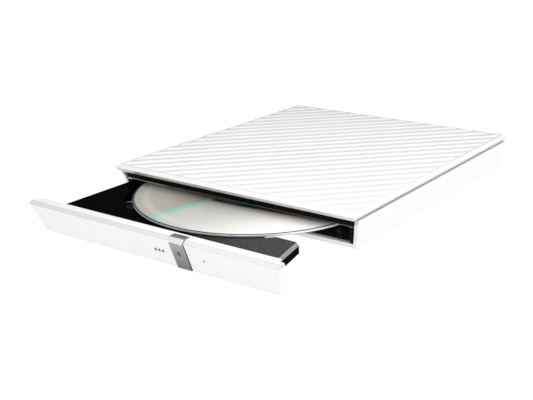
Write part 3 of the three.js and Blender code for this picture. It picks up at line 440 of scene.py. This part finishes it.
def strip_material():
    """Brushed metal with painted light: dark down the face, a painted highlight where it folds over,
    grey on top.
    """
    material, shader, nodes, links = new_material("brushed_strip", (0.3, 0.3, 0.31), 0.36, 1.0)
    height = along_node(nodes, links, (0, 0, strip_low.z), UP)
    place = range_node(nodes, links, height, 0, strip_high.z - strip_low.z)
    # Painted light by height: darker down the face, a painted highlight on the fold, grey on top.
    face = ramp_node(nodes, links, place.outputs["Result"], [
        (0.0, (0.18, 0.18, 0.18)), (0.83, (0.38, 0.38, 0.38)), (0.88, (1.0, 1.0, 1.0)),
        (0.97, (1.0, 1.0, 1.0)), (0.985, (0.36, 0.36, 0.36)),
    ])
    brushing = noise_node(nodes, links, 900, detail=4, stretch=(0.08, 5, 5))
    brushed = ramp_node(nodes, links, brushing.outputs["Fac"], [
        (0.3, (0.85, 0.85, 0.85)), (0.7, (1, 1, 1)),
    ])
    tint = tint_node(nodes, links, face.outputs["Color"], brushed.outputs["Color"])
    links.new(tint, shader.inputs["Base Color"])
    rough = range_node(nodes, links, brushing.outputs["Fac"], 0.3, 0.7, 0.32, 0.42)
    links.new(rough.outputs["Result"], shader.inputs["Roughness"])
    add_bump(nodes, links, shader, brushing.outputs["Fac"], strength=0.2, distance=0.02 * MM)
    return material


def rubber_material():
    colour = (0.02, 0.02, 0.021)
    material, shader, nodes, links = new_material("rubber", colour, 0.8)
    vary(nodes, links, shader, colour, spread=0.2, roughness=0.8, roughness_spread=0.08, scale=300)
    grain = noise_node(nodes, links, 3000, detail=3)
    add_bump(nodes, links, shader, grain.outputs["Fac"], strength=0.3, distance=0.04 * MM)
    return material


def board_material():
    colour = (0.012, 0.13, 0.055)
    material, shader, nodes, links = new_material("circuit_board", colour, 0.35)
    tracks = noise_node(nodes, links, 500, detail=1, stretch=(1, 0.2, 1))
    ramp = ramp_node(
        nodes, links, tracks.outputs["Fac"],
        [(0.46, colour), (0.5, (0.03, 0.24, 0.1)), (0.54, colour)],
    )
    links.new(ramp.outputs["Color"], shader.inputs["Base Color"])
    add_bump(nodes, links, shader, tracks.outputs["Fac"], strength=0.2, distance=0.03 * MM)
    return material


def chip_material():
    colour = (0.015, 0.015, 0.016)
    material, shader, nodes, links = new_material("chip_black", colour, 0.55)
    vary(nodes, links, shader, colour, spread=0.3, roughness=0.55, roughness_spread=0.08, scale=900)
    grain = noise_node(nodes, links, 6000, detail=2)
    add_bump(nodes, links, shader, grain.outputs["Fac"], strength=0.3, distance=0.03 * MM)
    return material


def clear_material(name="clear_plastic", colour=(0.8, 0.85, 0.9)):
    material, shader, nodes, links = new_material(name, colour, 0.08)
    vary(nodes, links, shader, colour, spread=0.03, roughness=0.08, roughness_spread=0.03, scale=400)
    shader.inputs["Transmission Weight"].default_value = 0.4
    shader.inputs["IOR"].default_value = 1.49
    return material


def brass_material():
    colour = (0.6, 0.42, 0.15)
    material, shader, nodes, links = new_material("screw_brass", colour, 0.25, 1.0)
    vary(nodes, links, shader, colour, spread=0.08, roughness=0.25, roughness_spread=0.06, scale=500)
    turned = noise_node(nodes, links, 2500, detail=2)
    add_bump(nodes, links, shader, turned.outputs["Fac"], strength=0.1, distance=0.01 * MM)
    return material


# Two bright streaks, painted diffraction highlights, leave one point of the disc: places from the
# disc's centre, in mm.
STREAK_START = Vector((-10.2, -23.6, 0))
STREAK_ENDS = (Vector((-17, -55.5, 0)), Vector((53.5, -18.7, 0)))
GREEN_HALF_WIDTH = 5 * MM
RAINBOW_LENGTH = 64 * MM
RAINBOW_FRONT, RAINBOW_BACK = -1.7 * MM, 3.3 * MM


def streak_lines():
    """Where the streaks start, and the direction across each: to the right, and to the back."""
    start = DISC_CENTRE + STREAK_START * MM
    along = [(end - STREAK_START).normalized() for end in STREAK_ENDS]
    right, back = (Vector((-line.y, line.x, 0)) for line in along)
    return start, right, back


def disc_material():
    """A silver disc with painted reflections: olive left of its green streak, with a rainbow along
    its other streak.
    """
    material, shader, nodes, links = new_material("disc_mirror", (0.85, 0.85, 0.84), 0.3, 0.3)
    start, right, back = streak_lines()
    aside = along_node(nodes, links, start, right)
    behind = along_node(nodes, links, start, back)
    radius = distance_node(nodes, links, DISC_CENTRE)

    haze = noise_node(nodes, links, 35, detail=2)
    # Painted reflection: olive and darker left of the green streak, and the silver brightening away
    # from it.
    olive = ramp_node(nodes, links, haze.outputs["Fac"], [
        (0.35, (0.46, 0.44, 0.35)), (0.65, (0.56, 0.55, 0.52)),
    ])
    from_streak = range_node(nodes, links, aside, 0, NOMINAL_RADIUS)
    silver = ramp_node(nodes, links, from_streak.outputs["Result"], [
        (0, (0.58, 0.6, 0.585)), (0.3, (0.65, 0.63, 0.61)), (0.8, (0.91, 0.9, 0.87)),
    ])
    side = range_node(nodes, links, aside, -0.4 * MM, 0.6 * MM)
    on_right = side.outputs["Result"]
    halves = mix_colours(nodes, links, on_right, olive.outputs["Color"], silver.outputs["Color"])

    # The green streak is a painted diffraction highlight.
    green_place = range_node(nodes, links, aside, -GREEN_HALF_WIDTH, GREEN_HALF_WIDTH)
    green = ramp_node(nodes, links, green_place.outputs["Result"], [
        (0.27, (0.45, 0.5, 0.6, 0)), (0.36, (0.35, 0.5, 0.78, 1)), (0.42, (0.3, 0.7, 0.68, 1)),
        (0.48, (0.2, 0.66, 0.4, 1)), (0.6, (0.26, 0.68, 0.42, 1)), (0.76, (0.5, 0.66, 0.52, 0)),
    ])
    in_front = range_node(nodes, links, behind, 0, 3 * MM, 1, 0)
    green_share = multiply_node(nodes, links, green.outputs["Alpha"], in_front.outputs["Result"])
    streaked = mix_colours(nodes, links, green_share, halves, green.outputs["Color"])

    # The rainbow is a painted diffraction highlight; the band behind it darkens into a painted
    # reflection of the dark frame.
    hue_place = range_node(nodes, links, aside, 0, RAINBOW_LENGTH)
    rainbow = ramp_node(nodes, links, hue_place.outputs["Result"], [
        (0.02, (0.7, 0.3, 0.15)), (0.14, (0.6, 0.25, 0.2)), (0.22, (0.12, 0.2, 0.8)),
        (0.3, (0.05, 0.3, 0.5)), (0.36, (0.05, 0.5, 0.25)), (0.45, (0.6, 0.5, 0.1)),
        (0.52, (0.8, 0.25, 0.1)), (0.9, (0.8, 0.45, 0.2)),
    ])
    band_place = range_node(nodes, links, behind, RAINBOW_FRONT, RAINBOW_BACK)
    band = ramp_node(nodes, links, band_place.outputs["Result"], [
        (0.02, (1, 1, 1, 0)), (0.2, (1, 1, 1, 1)), (0.34, (0.8, 0.8, 0.8, 1)),
        (0.44, (0.1, 0.1, 0.12, 1)), (0.6, (0.1, 0.1, 0.12, 1)), (0.98, (0.5, 0.5, 0.5, 0)),
    ])
    tint = tint_node(nodes, links, rainbow.outputs["Color"], band.outputs["Color"])
    band_share = multiply_node(nodes, links, band.outputs["Alpha"], on_right)
    banded = mix_colours(nodes, links, band_share, streaked, tint)

    ring_place = range_node(nodes, links, radius, 0, NOMINAL_RADIUS)
    rings = ramp_node(nodes, links, ring_place.outputs["Result"], [
        (0.28, (0.5, 0.52, 0.55, 1)), (0.3, (0.25, 0.25, 0.27, 1)), (0.315, (0.8, 0.8, 0.8, 1)),
        (0.37, (0.8, 0.8, 0.8, 0)), (0.84, (0.85, 0.75, 0.68, 0)), (0.9, (0.88, 0.76, 0.68, 0.35)),
        (0.94, (0.85, 0.85, 0.75, 0)), (0.982, (0.01, 0.01, 0.011, 0)),
        (0.986, (0.01, 0.01, 0.011, 1)),
    ])
    ringed = mix_colours(nodes, links, rings.outputs["Alpha"], banded, rings.outputs["Color"])
    # The disc's side: a painted shadow line at its bottom and a painted highlight above it.
    height = along_node(nodes, links, (0, 0, disc_low.z), UP)
    rim_place = range_node(nodes, links, height, 0, DISC_THICKNESS)
    rim_painted_light = ramp_node(nodes, links, rim_place.outputs["Result"], [
        (0.0, (0.05, 0.05, 0.06)), (0.12, (0.1, 0.1, 0.11)),
        (0.22, (0.75, 0.77, 0.76)), (0.85, (0.9, 0.9, 0.88)),
    ])
    rim_start, rim_full = DISC_RADIUS - 0.1 * MM, DISC_RADIUS - 0.05 * MM
    on_rim = range_node(nodes, links, radius, rim_start, rim_full).outputs["Result"]
    edged = mix_colours(nodes, links, on_rim, ringed, rim_painted_light.outputs["Color"])
    links.new(edged, shader.inputs["Base Color"])
    rough = range_node(nodes, links, haze.outputs["Fac"], 0.3, 0.7, 0.3, 0.42)
    links.new(rough.outputs["Result"], shader.inputs["Roughness"])
    shader.inputs["Coat Weight"].default_value = 0.2
    shader.inputs["Coat Roughness"].default_value = 0.12
    return material


MATERIALS = {
    "shell_white": cover_material(),
    "frame_black": black_plastic_material(),
    "tray_plastic": tray_material(),
    "sheet_steel": sheet_steel_material(),
    "machined_steel": machined_steel_material(),
    "strip_metal": strip_material(),
    "rubber_foot": rubber_material(),
    "circuit_board": board_material(),
    "chip_black": chip_material(),
    "disc_mirror": disc_material(),
    "clear_plastic": clear_material(),
    "screw_brass": brass_material(),
}
# These nodes keep their slot, and differ from its material.
OWN_MATERIALS = {
    "front_bezel": bezel_material(),
    "bottom_shell": lower_case_material(),
    "light_guide": clear_material("smoked_plastic", (0.1, 0.1, 0.105)),
    # The pan's steel is painted near black: a painted shadow for the inside of the case.
    "drive_base_pan": sheet_steel_material("painted_shadow_steel", 0.08),
}


# ------------------------------------------------------------------ carried-over CAD nodes

WELD_DISTANCE = 0.002 * MM
FLAT_ANGLE = math.radians(0.5)
SHARP_ANGLE = math.radians(30)
BEVEL_SEGMENTS = 2


def dress(node, material, width):
    """The CAD node gets its material, and modifiers that round its edges."""
    piece = frame["nodes"][node]
    piece.data.materials.clear()
    piece.data.materials.append(material)
    for polygon in piece.data.polygons:
        polygon.material_index = 0
        polygon.use_smooth = True
    weld = piece.modifiers.new("weld", "WELD")
    weld.merge_threshold = WELD_DISTANCE
    dissolve = piece.modifiers.new("dissolve", "DECIMATE")
    dissolve.decimate_type = "DISSOLVE"
    dissolve.angle_limit = FLAT_ANGLE
    bevel = piece.modifiers.new("bevel", "BEVEL")
    bevel.width = width
    bevel.segments = BEVEL_SEGMENTS
    bevel.limit_method = "ANGLE"
    bevel.angle_limit = SHARP_ANGLE
    bevel.use_clamp_overlap = True
    normals = piece.modifiers.new("normals", "WEIGHTED_NORMAL")
    normals.keep_sharp = False


# Widths of the rounded edges, in mm.
EDGE_WIDTHS = {
    "bottom_shell": 0.3,
    "front_bezel": 0.35,
    "tray_plate": 0.15,
    "front_frame": 0.2,
    "eject_strip": 0.12,
}
OTHER_EDGE_WIDTH = 0.08


def dress_nodes(replaced):
    for part in frame["record"]["subparts"]:
        node = part["node"]
        if node not in replaced:
            material = OWN_MATERIALS.get(node, MATERIALS[part["material_slot"]])
            dress(node, material, EDGE_WIDTHS.get(node, OTHER_EDGE_WIDTH) * MM)


# ------------------------------------------------------------------ mesh helpers

def link_mesh(name, verts, faces, slot, body, *nodes):
    mesh = bpy.data.meshes.new(name)
    mesh.from_pydata(verts, [], faces)
    work = bmesh.new()
    work.from_mesh(mesh)
    bmesh.ops.recalc_face_normals(work, faces=work.faces)
    work.to_mesh(mesh)
    work.free()
    for polygon in mesh.polygons:
        polygon.use_smooth = True
    mesh.materials.append(MATERIALS[slot])
    piece = bpy.data.objects.new(name, mesh)
    bpy.context.scene.collection.objects.link(piece)
    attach(piece, body)
    if nodes:
        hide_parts(*nodes)
    return piece


def ring_faces(first, second, count):
    """Quads between two closed rings of vertices that start at the given numbers."""
    return [
        (first + i, first + (i + 1) % count, second + (i + 1) % count, second + i)
        for i in range(count)
    ]


def revolve(profile, segments, centre):
    """A closed profile of (radius, z) points turned about the upright axis through centre."""
    verts = []
    for radius, z in profile:
        for i in range(segments):
            angle = 2 * math.pi * i / segments
            x, y = radius * math.cos(angle), radius * math.sin(angle)
            verts.append((centre.x + x, centre.y + y, z))
    faces = []
    for k in range(len(profile)):
        faces += ring_faces(k * segments, (k + 1) % len(profile) * segments, segments)
    return verts, faces


def rounded_point(x, y, half_x, half_y, radius):
    """A point of a rectangle's edge, drawn in to a corner of the given radius."""
    inner_x = max(-half_x + radius, min(half_x - radius, x))
    inner_y = max(-half_y + radius, min(half_y - radius, y))
    out = Vector((x - inner_x, y - inner_y))
    if out.x and out.y:
        out = out.normalized() * radius
    return inner_x + out.x, inner_y + out.y


def rectangle_fractions(count_x, count_y):
    """Places round a rectangle, from -1 to 1 in x and y, in order."""
    xs = [-1 + 2 * i / count_x for i in range(count_x)]
    ys = [-1 + 2 * j / count_y for j in range(count_y)]
    front = [(x, -1) for x in xs]
    right = [(1, y) for y in ys]
    back = [(-x, 1) for x in xs]
    left = [(-1, -y) for y in ys]
    return front + right + back + left


# ------------------------------------------------------------------ the cover

RIDGE_PITCH = 7.4 * MM
RIDGE_RISE = 0.72
FADE_START = 0.4 * MM
FADE_WIDTH = 1.6 * MM
COVER_COLUMNS, COVER_ROWS = 220, 240


def smooth_step(share):
    return share * share * (3 - 2 * share)


def ridge_height(x, y, edge_distance):
    """Low waves that run across the cover from front left to back right, and fade at its edge."""
    across = (x - y) / math.sqrt(2)
    phase = (across / RIDGE_PITCH) % 1
    wave = phase / RIDGE_RISE if phase < RIDGE_RISE else (1 - phase) / (1 - RIDGE_RISE)
    fade = max(0, min(1, (edge_distance - FADE_START) / FADE_WIDTH))
    return RIDGE_HEIGHT * smooth_step(wave) * smooth_step(fade)


def make_cover():
    """The cover with its undercut, its chamfer and its ridged top, as one closed surface."""
    x0, x1, y0, y1 = COVER_RECT
    centre = Vector(((x0 + x1) / 2, (y0 + y1) / 2))
    half = Vector(((x1 - x0) / 2, (y1 - y0) / 2))
    places = rectangle_fractions(COVER_COLUMNS, COVER_ROWS)
    # Each ring's inset in mm, its height, and its corner radius in mm.
    profile = [
        (3.4, COVER_RIM - 0.1 * MM, 0.3), (3.4, COVER_BOTTOM, 0.3), (1.75, COVER_BOTTOM, 0.4),
        (1.5, COVER_BOTTOM + 0.06 * MM, 0.5), (1.36, COVER_BOTTOM + 0.22 * MM, 0.6),
        (0.12, COVER_RIM - 0.14 * MM, 0.8), (0.02, COVER_RIM, 0.8),
        (0.1, COVER_RIM + 0.12 * MM, 0.8), (1.86, COVER_TOP - 0.14 * MM, 0.6),
        (2.06, COVER_TOP - 0.03 * MM, 0.5), (2.3, COVER_TOP, 0.4),
    ]
    verts = []
    for inset, z, radius in profile:
        hx, hy = half.x - inset * MM, half.y - inset * MM
        for fx, fy in places:
            x, y = rounded_point(fx * hx, fy * hy, hx, hy, radius * MM)
            verts.append((centre.x + x, centre.y + y, z))
    count = len(places)
    faces = [tuple(reversed(range(count)))]
    for k in range(len(profile) - 1):
        faces += ring_faces(k * count, (k + 1) * count, count)
    top_ring = (len(profile) - 1) * count
    # The top is a grid of points that starts from the last ring; number gives each its vertex.
    number = {}
    for i, (fx, fy) in enumerate(places):
        column = round((fx + 1) / 2 * COVER_COLUMNS)
        row = round((fy + 1) / 2 * COVER_ROWS)
        number[column, row] = top_ring + i
    inset = profile[-1][0] * MM
    hx, hy = half.x - inset, half.y - inset
    for row in range(1, COVER_ROWS):
        for column in range(1, COVER_COLUMNS):
            x = (-1 + 2 * column / COVER_COLUMNS) * hx
            y = (-1 + 2 * row / COVER_ROWS) * hy
            edge = min(hx - abs(x), hy - abs(y))
            number[column, row] = len(verts)
            verts.append((centre.x + x, centre.y + y, COVER_TOP + ridge_height(x, y, edge)))
    for row in range(COVER_ROWS):
        for column in range(COVER_COLUMNS):
            corners = [(column, row), (column + 1, row), (column + 1, row + 1), (column, row + 1)]
            faces.append(tuple(number[corner] for corner in corners))
    link_mesh("cover", verts, faces, "shell_white", "case", "top_cover")


# ------------------------------------------------------------------ the disc

HOLE_RADIUS = 7.5 * MM
DISC_SEGMENTS = 256


def make_disc():
    low, high = disc_low.z, disc_high.z
    inner, outer = HOLE_RADIUS, DISC_RADIUS
    profile = [
        (inner, low + 0.15 * MM), (inner + 0.15 * MM, low),
        (outer - 0.3 * MM, low), (outer - 0.08 * MM, low + 0.1 * MM), (outer, low + 0.3 * MM),
        (outer, high - 0.3 * MM), (outer - 0.08 * MM, high - 0.1 * MM), (outer - 0.3 * MM, high),
        (inner + 0.15 * MM, high), (inner, high - 0.15 * MM),
    ]
    verts, faces = revolve(profile, DISC_SEGMENTS, DISC_CENTRE)
    link_mesh("disc", verts, faces, "disc_mirror", "spindle", "optical_disc")


# ------------------------------------------------------------------ the ejector's spring

SPRING_TURNS = 9
WIRE_RADIUS = 0.22 * MM
STEPS_PER_TURN = 24
WIRE_SIDES = 8


def make_spring():
    """A coil spring along Y, filling the box of the CAD spring."""
    low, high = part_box("ejector_spring")
    middle_x, middle_z = (low.x + high.x) / 2, (low.z + high.z) / 2
    radius = (high.x - low.x) / 2 - WIRE_RADIUS
    start, end = low.y + WIRE_RADIUS, high.y - WIRE_RADIUS
    steps, sides = SPRING_TURNS * STEPS_PER_TURN, WIRE_SIDES
    verts = []
    for step in range(steps + 1):
        along = step / steps
        turn = 2 * math.pi * SPRING_TURNS * along
        out = Vector((math.cos(turn), 0, math.sin(turn)))
        core = Vector((middle_x, start + (end - start) * along, middle_z)) + out * radius
        for side in range(sides):
            angle = 2 * math.pi * side / sides
            offset = (out * math.cos(angle) + Vector((0, 1, 0)) * math.sin(angle)) * WIRE_RADIUS
            verts.append(tuple(core + offset))
    faces = [tuple(range(sides)), tuple(range(steps * sides, (steps + 1) * sides))]
    for step in range(steps):
        faces += ring_faces(step * sides, (step + 1) * sides, sides)
    spring = link_mesh("spring", verts, faces, "machined_steel", "case", "ejector_spring")
    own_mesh(spring)


# ------------------------------------------------------------------ the eject mark

MARK_HEIGHT = 8 * MM
MARK_HALF_WIDTH = 1.1 * MM
MARK_GAP = 0.25 * MM
MARK_BACK, MARK_FRONT = -0.02 * MM, 0.03 * MM


def strip_face():
    """The top and bottom of the strip's sloping face, in the middle of its width."""
    corners = [vertex.co for vertex in frame["nodes"]["eject_strip"].data.vertices]
    top = min(corners, key=lambda corner: corner.y)
    bottom = min((c for c in corners if c.z < strip_low.z + 0.01 * MM), key=lambda corner: corner.y)
    across = (strip_low.x + strip_high.x) / 2
    return Vector((across, top.y, top.z)), Vector((across, bottom.y, bottom.z))


def make_eject_mark():
    """A plain triangle over a bar, printed on the strip's face."""
    top, bottom = strip_face()
    up = (top - bottom).normalized()
    right = Vector((1, 0, 0))
    out = right.cross(up)
    centre = bottom + up * (MARK_HEIGHT - bottom.z) / up.z
    wide, gap = MARK_HALF_WIDTH, MARK_GAP
    triangle = [(-wide, gap), (wide, gap), (0, gap + 1.5 * wide)]
    bar_bottom = -gap - 0.4 * wide
    bar = [(-wide, bar_bottom), (wide, bar_bottom), (wide, -gap), (-wide, -gap)]
    verts, faces = [], []
    for outline in (triangle, bar):
        start, count = len(verts), len(outline)
        for lift in (MARK_BACK, MARK_FRONT):
            verts += [tuple(centre + right * u + up * v + out * lift) for u, v in outline]
        faces.append(tuple(range(start, start + count)))
        faces.append(tuple(range(start + count, start + 2 * count)))
        faces += ring_faces(start, start + count, count)
    mark = link_mesh("eject_mark", verts, faces, "chip_black", "eject_button")
    for polygon in mark.data.polygons:
        polygon.use_smooth = False


make_camera()
make_lights()
make_floor()
make_cover()
make_disc()
make_spring()
make_eject_mark()
dress_nodes({"top_cover", "optical_disc", "ejector_spring"})
